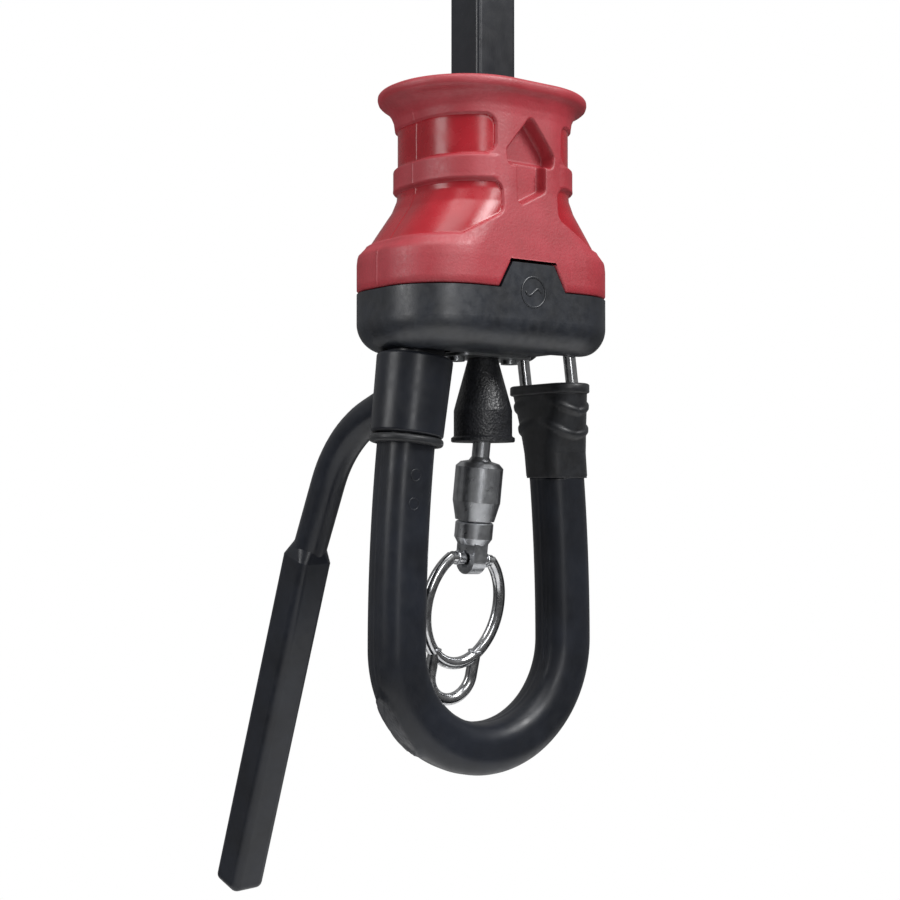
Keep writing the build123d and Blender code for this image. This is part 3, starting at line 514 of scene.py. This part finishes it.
def add_sleeve():
    """Release sleeve: arrow recess, polished side panels, proud band and rolled flange."""
    heights = [18.4, 18.7, 19.2, 21.0, 23.0, 25.0, 26.4, 26.9, 27.4, 28.2, 29.0, 29.8, 30.4, 31.0]
    heights += [31.4 + 0.4 * step for step in range(103)]
    heights += [72.9, 73.5, 74.1, 74.8, 75.4]
    heights += [75.9 + 0.5 * step for step in range(9)]
    heights += [80.3, 80.6, 80.85, 81.0]
    columns = sleeve_columns()
    points = []
    kinds = []
    for height in heights:
        half_x, half_y, corner = outline_at(height)
        for share in columns:
            place, out = along_outline(share, half_x, half_y, corner)
            depth, polished = sleeve_relief(place.x, place.y, height)
            if height > 73:
                depth, polished = 0.0, False
            if height < 19.3:
                depth += 0.5 * smooth_step(19.3, SEAM, height)
            # The lowest rows climb over the housing's front tab.
            lift = tab_notch(place.x, place.y) * smooth_step(27.3, SEAM, height)
            place = place - out * depth
            points.append((place.x * MM, place.y * MM, UNDERSIDE + (height + lift) * MM))
            kinds.append(polished)
    count = len(columns)
    # Inside, from the top down: the tube's way out, the spring chamber, the guide's bore and the skirt.
    bores = ((11.5, 80.9), (11.5, 78.0), (16.75, 77.9), (16.75, 36.1), (16.1, 36.0), (16.1, 30.1))
    linings = ((30.0, 5.5), (27.0, 2.3), (SEAM, 2.3))
    for radius, height in bores:
        for share in columns:
            place, _ = along_outline(share, *RIM)
            way = place.normalized() * radius
            points.append((way.x * MM, way.y * MM, UNDERSIDE + height * MM))
            kinds.append(False)
    for height, wall in linings:
        for share in columns:
            place, out = along_outline(share, *SKIRT)
            place = place - out * wall
            lift = tab_notch(place.x, place.y) if height == SEAM else 0.0
            points.append((place.x * MM, place.y * MM, UNDERSIDE + (height + lift) * MM))
            kinds.append(False)
    rows = len(heights) + len(bores) + len(linings)
    faces = tube_faces(rows, count, closed_ends=False)
    last = (rows - 1) * count
    faces += [(last + step, last + (step + 1) % count, (step + 1) % count, step) for step in range(count)]
    finish = [1 if sum(kinds[corner] for corner in face) >= 3 else 0 for face in faces]
    sleeve = make_piece("sleeve_shell", points, faces, ("textured_red", "polished_red"), finish)
    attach(sleeve, "sleeve")
    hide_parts("release_sleeve")
    return sleeve


# ---- harness loop ----
def leg_offset(height):
    """How far a leg's centre line is from the middle, in mm: the legs bow slightly."""
    rise = LEG_TOP - BOW_HEIGHT
    radius = (rise ** 2 + LEG_LEAN ** 2) / (2 * LEG_LEAN)
    return LEG_HALF - radius + math.sqrt(radius ** 2 - (height - BOW_HEIGHT) ** 2)


def loop_route():
    """Loop's centre line: down the left leg, round the bow and up to the boot."""
    route = []
    leg_steps, bow_steps, free_steps = 63, 120, 50
    start = LEG_TOP - 0.1
    for step in range(leg_steps):
        height = start + (BOW_HEIGHT - start) * step / leg_steps
        route.append(Vector((-leg_offset(height), 0, height)))
    for step in range(bow_steps + 1):
        angle = math.pi * (1 + step / bow_steps)
        route.append(Vector((LEG_HALF * math.cos(angle), 0, BOW_HEIGHT + LEG_HALF * math.sin(angle))))
    top = (LOOP_TOP - UNDERSIDE) / MM
    for step in range(1, free_steps + 1):
        height = BOW_HEIGHT + (top - BOW_HEIGHT) * step / free_steps
        route.append(Vector((leg_offset(height), 0, height)))
    return route


def add_loop():
    """One moulded loop in place of its two halves."""
    section = rounded_section(LOOP_HALF, LOOP_HALF, LOOP_CORNER, 9, 10)
    route = loop_route()
    points = []
    for index, centre in enumerate(route):
        before = route[max(0, index - 1)]
        after = route[min(len(route) - 1, index + 1)]
        along = (after - before).normalized()
        outward = Vector((along.z, 0, -along.x))
        height = centre.z
        turn = -90.0
        if height < BOW_HEIGHT:
            turn = math.degrees(math.atan2(BOW_HEIGHT - height, -centre.x))
        for across, deep in section:
            # Faint moulding line down the middle of the outside and the inside.
            out = 0.14 * max(0.0, 1 - abs(deep) / 0.9)
            # Engraved eye shape on the outside, low on the left.
            if across > 5.0:
                away = math.hypot((turn - 36) / 19, deep / 5.4)
                out -= 0.7 * smooth_step(0.17, 0.06, abs(away - 0.85))
                out -= 0.25 * smooth_step(0.1, 0.0, abs(away - 0.45))
            place = centre + outward * (across + math.copysign(out, across))
            points.append((place.x * MM, deep * MM, UNDERSIDE + place.z * MM))
    faces = tube_faces(len(route), len(section))
    loop = make_piece("loop_moulding", points, faces, ("loop_urethane",))
    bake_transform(loop)
    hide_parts("loop_tube", "loop_tube_end")
    return loop


def add_loop_marks():
    """Two faint ejector-pin rings on the left leg's front."""
    made = []
    for number, height in enumerate((-37.5, -46.0)):
        x = -leg_offset(height) - 1.0
        points = []
        for radius, proud in ((1.95, -0.1), (1.85, 0.12), (1.6, 0.12), (1.5, -0.1)):
            for step in range(40):
                angle = 2 * math.pi * step / 40
                points.append(((x + radius * math.cos(angle)) * MM, (-8.0 - proud) * MM,
                               UNDERSIDE + (height + radius * math.sin(angle)) * MM))
        faces = tube_faces(4, 40, closed_ends=False)
        faces += [(120 + step, step, (step + 1) % 40, 120 + (step + 1) % 40) for step in range(40)]
        mark = make_piece(f"loop_mark_{number + 1}", points, faces, ("loop_urethane",))
        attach(mark, "base")
        made.append(mark)
    return made


# ---- boot on the loop's free end ----
def boot_size(height):
    rows = [(-38.0, 16.6, 16.6, 4.5), (-30.0, 16.4, 17.6, 4.9), (-22.0, 14.8, 23.4, 6.2),
            (-11.2, 12.4, 30.0, 6.1), (-8.0, 12.4, 30.0, 6.1)]
    for low, high in zip(rows, rows[1:]):
        if height <= high[0]:
            share = max(0.0, (height - low[0]) / (high[0] - low[0]))
            return [a + (b - a) * share for a, b in zip(low[1:], high[1:])]
    return list(rows[-1][1:])


def boot_rib(x, y, height, size):
    """Two chevron ribs that wrap each end of the boot."""
    thick, length, _ = size
    flat = min(1.0, abs(x) / (thick / 2))
    end = abs(y) / (length / 2)
    reach = smooth_step(0.12, 0.3, end)
    swell = 0.0
    for middle in (-17.2, -24.6):
        line = middle + 1.2 * flat + 5.5 * (1 - end)
        swell = max(swell, smooth_step(1.5, 0.4, abs(height - line)))
    return 0.75 * swell * reach


def add_boot():
    """Rubber boot with its rim and ribs, in place of the plain one."""
    points = []
    heights = [-38.0 + 0.4 * step for step in range(67)] + [-11.3]
    for height in heights:
        size = boot_size(height)
        thick, length, corner = size
        middle = leg_offset(height)
        for x, y in rounded_section(thick / 2, length / 2, corner, 12, 6):
            out = boot_rib(x, y, height, size)
            way = Vector((x, y)).normalized()
            if height < -37.5:
                out -= 0.15
            points.append(((middle + x + way.x * out) * MM, (y + way.y * out) * MM, UNDERSIDE + height * MM))
    rim = [(-11.2, 0.0), (-11.1, 0.6), (-10.8, 0.9), (-8.6, 0.9), (-8.25, 0.65), (-8.05, 0.2), (-8.0, -0.5)]
    for height, out in rim:
        middle = leg_offset(-9.6)
        for x, y in rounded_section(6.2 + out, 15.0 + out, min(6.1 + out, 6.15 + out), 12, 6):
            points.append(((middle + x) * MM, y * MM, UNDERSIDE + height * MM))
    count = len(rounded_section(6.2, 15.0, 6.1, 12, 6))
    faces = tube_faces(len(heights) + len(rim), count)
    boot = make_piece("end_boot", points, faces, ("rubber",))
    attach(boot, "loop_end")
    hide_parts("loop_end_boot")
    return boot


# ---- depower line's eye ----
def add_line_eye():
    """Spliced eye of the depower line, standing up out of the tube."""
    half = [
        (0.0045, 0, 0), (0.0045, 0, 0.0102), (0.009, 0, 0.02108), (0.01, 0, 0.03128),
        (0.0055, 0, 0.04046),
    ]
    route = half + [(-x, y, z) for x, y, z in reversed(half)]
    data = bpy.data.curves.new("line_eye", "CURVE")
    data.dimensions = "3D"
    data.bevel_depth = looks().line_diameter / 2
    data.bevel_resolution = 6
    data.resolution_u = 16
    data.use_fill_caps = True
    spline = data.splines.new("NURBS")
    spline.points.add(len(route) - 1)
    for point, place in zip(spline.points, route):
        point.co = (*place, 1.0)
    spline.order_u = 3
    spline.use_endpoint_u = True
    eye = bpy.data.objects.new("line_eye", data)
    bpy.context.collection.objects.link(eye)
    data.materials.append(finish_of("line"))
    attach(eye, "line_head")
    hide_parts("depower_line_eye")
    return eye


# ---- small marks ----
def add_emblem():
    """Plain ring with a wave across it, moulded into the housing's front tab."""
    middle = Vector((0, HOUSING_FRONT, UNDERSIDE + 17.4 * MM))
    made = []
    points = []
    for radius, proud in ((4.9, -0.05), (4.8, 0.25), (4.3, 0.25), (4.2, -0.05)):
        for step in range(48):
            angle = 2 * math.pi * step / 48
            points.append((middle.x + radius * MM * math.cos(angle), middle.y - proud * MM,
                           middle.z + radius * MM * math.sin(angle)))
    faces = tube_faces(4, 48, closed_ends=False)
    faces += [(144 + step, step, (step + 1) % 48, 144 + (step + 1) % 48) for step in range(48)]
    made.append(make_piece("tab_ring", points, faces, ("black_nylon",)))
    points = []
    for step in range(25):
        x = -3.2 + 6.4 * step / 24
        z = 1.0 * math.sin(x / 3.2 * math.pi)
        for rise, proud in ((-0.4, -0.05), (-0.35, 0.25), (0.35, 0.25), (0.4, -0.05)):
            points.append((middle.x + x * MM, middle.y - proud * MM, middle.z + (z + rise) * MM))
    made.append(make_piece("tab_wave", points, tube_faces(25, 4), ("black_nylon",)))
    for piece in made:
        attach(piece, "base")
    return made


def weld_bead(name, centre, along, radius, thickness, body):
    """Small rippled bead round a rod joint."""
    along = Vector(along).normalized()
    side = along.orthogonal().normalized()
    other = along.cross(side)
    points = []
    for step in range(48):
        angle = 2 * math.pi * step / 48
        out = side * math.cos(angle) + other * math.sin(angle)
        fat = thickness * (1 + 0.16 * math.sin(angle * 9))
        for turn in range(12):
            around = 2 * math.pi * turn / 12
            reach = out * (radius + fat * math.cos(around))
            points.append(Vector(centre) + reach + along * fat * math.sin(around))
    faces = []
    for step in range(48):
        for turn in range(12):
            here = step * 12 + turn
            beside = step * 12 + (turn + 1) % 12
            after = ((step + 1) % 48) * 12
            faces.append((here, beside, after + (turn + 1) % 12, after + turn))
    bead = make_piece(name, points, faces, ("blasted",))
    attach(bead, body)
    return bead


RING_LEAN = math.radians(6)
RING_BACK = math.radians(9)


def add_beads():
    """Beads where the ring's bar and its lower bow are welded on."""
    eye = Vector(next(joint["pos_m"] for joint in frame["joints"] if joint["name"] == "ring_tilt"))
    up = Vector((math.sin(RING_LEAN), -math.sin(RING_BACK), 1)).normalized()
    side = Vector((up.z, 0, -up.x)).normalized()
    made = []
    for number, sign in enumerate((-1, 1)):
        bar_end = eye + side * sign * 5.7 * MM
        bow_end = eye + side * sign * 8 * MM - up * 29.2 * MM
        made.append(weld_bead(f"bar_bead_{number + 1}", bar_end, side, 1.85 * MM, 0.42 * MM, "leash_ring"))
        made.append(weld_bead(f"bow_bead_{number + 1}", bow_end, up, 1.85 * MM, 0.42 * MM, "leash_ring"))
    return made


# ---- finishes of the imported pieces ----
SLOT_FINISHES = {
    "tube_coating": "tube",
    "line_grey": "line",
    "line_red": "red_line",
    "aluminium": "brushed",
    "bearing_steel": "polished",
    "red_shell": "textured_red",
    "nylon": "black_nylon",
    "spring_steel": "polished",
    "black_shell": "black_nylon",
    "stainless": "brushed",
    "loop_urethane": "loop_urethane",
    "load_rope": "line",
    "black_rubber": "rubber",
    "polished_stainless": "polished",
    "finger_urethane": "finger_urethane",
    "cone_plastic": "cone",
    "blasted_stainless": "blasted",
}


def finish_packed_pieces():
    """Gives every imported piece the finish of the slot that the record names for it."""
    for piece in frame["nodes"].values():
        for holder in piece.material_slots:
            matches = [slot_name for slot_name in SLOT_FINISHES if holder.material.name.endswith(slot_name)]
            if not matches:
                raise ValueError(f"{piece.name} has a material without a finish: {holder.material.name}")
            holder.material = finish_of(SLOT_FINISHES[max(matches, key=len)])
    # The spring gets a mesh of its own; the real one closes up as the sleeve rises.
    spring = frame["nodes"]["release_spring"]
    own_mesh(spring)


# ---- stage, light and camera ----
def add_stage():
    """Round table of pale paper, low enough to stay out of the view; it only throws light back up."""
    floor = CAD_LOW.z - FLOOR_DROP
    points = []
    for step in range(96):
        angle = 2 * math.pi * step / 96
        points.append((FLOOR_REACH * math.cos(angle), FLOOR_REACH * math.sin(angle), floor))
    mesh = bpy.data.meshes.new("paper_table")
    mesh.from_pydata(points, [], [tuple(range(96))])
    mesh.materials.append(finish_of("paper"))
    table = bpy.data.objects.new("paper_table", mesh)
    bpy.context.collection.objects.link(table)
    return table


def add_lamp(name, place, aim, size, power, size_y=None):
    data = bpy.data.lights.new(name, "AREA")
    data.shape = "RECTANGLE"
    data.size = size
    data.size_y = size_y or size
    data.energy = power
    lamp = bpy.data.objects.new(name, data)
    lamp.location = place
    lamp.rotation_mode = "QUATERNION"
    lamp.rotation_quaternion = (Vector(aim) - Vector(place)).to_track_quat("-Z", "Y")
    bpy.context.collection.objects.link(lamp)
    return lamp


def add_lights_and_camera():
    """Product-shot light: soft key from the front right, weak fill, bright surround."""
    aim = Vector((-0.0083, 0.0061, -0.1486))
    back = Vector((-0.593, -0.805, 0.0))
    right = Vector((0.805, -0.593, 0.0))
    up = Vector((0, 0, 1))
    add_lamp("key", aim + right * 0.7 + back * 0.5 + up * 0.75, aim, 0.45, looks().key_power * 1.1, 0.45)
    add_lamp("top", aim + back * 0.3 + up * 0.9, aim, 0.6, looks().key_power * 0.45)
    add_lamp("fill", aim - right * 0.8 + back * 0.4 + up * 0.35, aim, 0.35, looks().key_power * 0.34, 0.6)
    add_lamp("glint", aim + right * 0.25 + back * 0.9 + up * 0.2, aim, 0.14, looks().key_power * 0.18, 0.5)
    world = bpy.data.worlds.new("white_surround")
    world.use_nodes = True
    tree = world.node_tree
    tree.nodes.clear()
    seen = add_node(tree, "ShaderNodeBackground", values={"Color": (1, 1, 1, 1), "Strength": 1.0})
    # The room is brighter overhead than underneath.
    place = add_node(tree, "ShaderNodeTexCoord")
    parts = add_node(tree, "ShaderNodeSeparateXYZ", links={"Vector": (place, "Generated")})
    spread = add_node(tree, "ShaderNodeMapRange", values={"From Min": -0.4, "From Max": 0.6,
                                                         "To Min": 0.3 * looks().surround,
                                                         "To Max": 1.5 * looks().surround},
                      links={"Value": (parts, "Z")})
    lit = add_node(tree, "ShaderNodeBackground", values={"Color": (1, 1, 1, 1)},
                   links={"Strength": (spread, "Result")})
    ray = add_node(tree, "ShaderNodeLightPath")
    mix = add_node(tree, "ShaderNodeMixShader",
                   links={"Fac": (ray, "Is Camera Ray"), 1: (lit, "Background"), 2: (seen, "Background")})
    add_node(tree, "ShaderNodeOutputWorld", links={"Surface": (mix, "Shader")})
    bpy.context.scene.world = world
    camera = bpy.data.objects.new("view", bpy.data.cameras.new("view"))
    bpy.context.collection.objects.link(camera)
    camera.data.sensor_width = 36
    camera.data.lens = 60.3
    camera.data.clip_start = 0.01
    camera.location = Vector((aim.x, aim.y, -0.16)) + back * 0.471
    camera.rotation_mode = "QUATERNION"
    camera.rotation_quaternion = (aim + up * 0.0012 - camera.location).to_track_quat("-Z", "Y")
    bpy.context.scene.camera = camera
    scene = bpy.context.scene
    scene.view_settings.view_transform = "Standard"
    scene.view_settings.look = "None"


# ---- add-on classes ----
class ReleaseLooks(bpy.types.PropertyGroup):
    """Sizes and colours that the pieces take."""

    red: bpy.props.StringProperty(
        name="Red", description="Colour of the sleeve, as a hex value", default="#B02A36")
    black: bpy.props.StringProperty(
        name="Black", description="Colour of the housing, as a hex value", default="#1A1C20")
    arrow_depth: bpy.props.FloatProperty(
        name="Arrow depth", description="Depth of the arrow's recess", default=0.005, min=0.001, max=0.006,
        unit="LENGTH")
    line_diameter: bpy.props.FloatProperty(
        name="Line diameter", description="Thickness of the depower line", default=0.0038, min=0.002,
        max=0.005, unit="LENGTH")
    key_power: bpy.props.FloatProperty(
        name="Key light", description="Power of the main lamp, in watts", default=8.5, min=0.0, max=200.0)
    surround: bpy.props.FloatProperty(
        name="Surround", description="Strength of the light from all round", default=0.2, min=0.0, max=3.0)


class MESH_OT_release_sleeve(bpy.types.Operator):
    """Add the release sleeve with its arrow and panels"""

    bl_idname = "mesh.release_sleeve_add"
    bl_label = "Release Sleeve"

    def execute(self, context):
        add_sleeve()
        return {"FINISHED"}


class MESH_OT_release_loop(bpy.types.Operator):
    """Add the harness loop with its marks"""

    bl_idname = "mesh.release_loop_add"
    bl_label = "Harness Loop"

    def execute(self, context):
        add_loop()
        add_loop_marks()
        return {"FINISHED"}


class MESH_OT_release_boot(bpy.types.Operator):
    """Add the ribbed rubber boot"""

    bl_idname = "mesh.release_boot_add"
    bl_label = "Loop Boot"

    def execute(self, context):
        add_boot()
        return {"FINISHED"}


class CURVE_OT_release_eye(bpy.types.Operator):
    """Add the depower line's eye"""

    bl_idname = "curve.release_eye_add"
    bl_label = "Line Eye"

    def execute(self, context):
        add_line_eye()
        return {"FINISHED"}


class MESH_OT_release_details(bpy.types.Operator):
    """Add the tab's emblem and the ring's weld beads"""

    bl_idname = "mesh.release_details_add"
    bl_label = "Details"

    def execute(self, context):
        add_emblem()
        add_beads()
        return {"FINISHED"}


class MATERIAL_OT_release_finishes(bpy.types.Operator):
    """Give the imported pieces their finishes"""

    bl_idname = "material.release_finishes_apply"
    bl_label = "Finishes"

    def execute(self, context):
        finish_packed_pieces()
        return {"FINISHED"}


class SCENE_OT_release_stage(bpy.types.Operator):
    """Add the paper sweep, lights and camera"""

    bl_idname = "scene.release_stage_add"
    bl_label = "Stage"

    def execute(self, context):
        add_stage()
        add_lights_and_camera()
        return {"FINISHED"}


class VIEW3D_PT_release(bpy.types.Panel):
    """Sidebar panel with the sizes and the buttons"""

    bl_label = "Kite Quick Release"
    bl_space_type = "VIEW_3D"
    bl_region_type = "UI"
    bl_category = "Release"

    def draw(self, context):
        column = self.layout.column()
        for name in ("red", "black", "arrow_depth", "line_diameter", "key_power", "surround"):
            column.prop(context.scene.release_looks, name)
        for operator in OPERATORS:
            column.operator(operator.bl_idname)


OPERATORS = (
    MATERIAL_OT_release_finishes,
    MESH_OT_release_sleeve,
    MESH_OT_release_loop,
    MESH_OT_release_boot,
    CURVE_OT_release_eye,
    MESH_OT_release_details,
    SCENE_OT_release_stage,
)
CLASSES = (ReleaseLooks, *OPERATORS, VIEW3D_PT_release)


def register():
    for item in CLASSES:
        bpy.utils.register_class(item)
    bpy.types.Scene.release_looks = bpy.props.PointerProperty(type=ReleaseLooks)


def unregister():
    del bpy.types.Scene.release_looks
    for item in reversed(CLASSES):
        bpy.utils.unregister_class(item)


def main():
    register()
    bpy.ops.material.release_finishes_apply()
    bpy.ops.mesh.release_sleeve_add()
    bpy.ops.mesh.release_loop_add()
    bpy.ops.mesh.release_boot_add()
    bpy.ops.curve.release_eye_add()
    bpy.ops.mesh.release_details_add()
    bpy.ops.scene.release_stage_add()


if __name__ == "__main__":
    main()
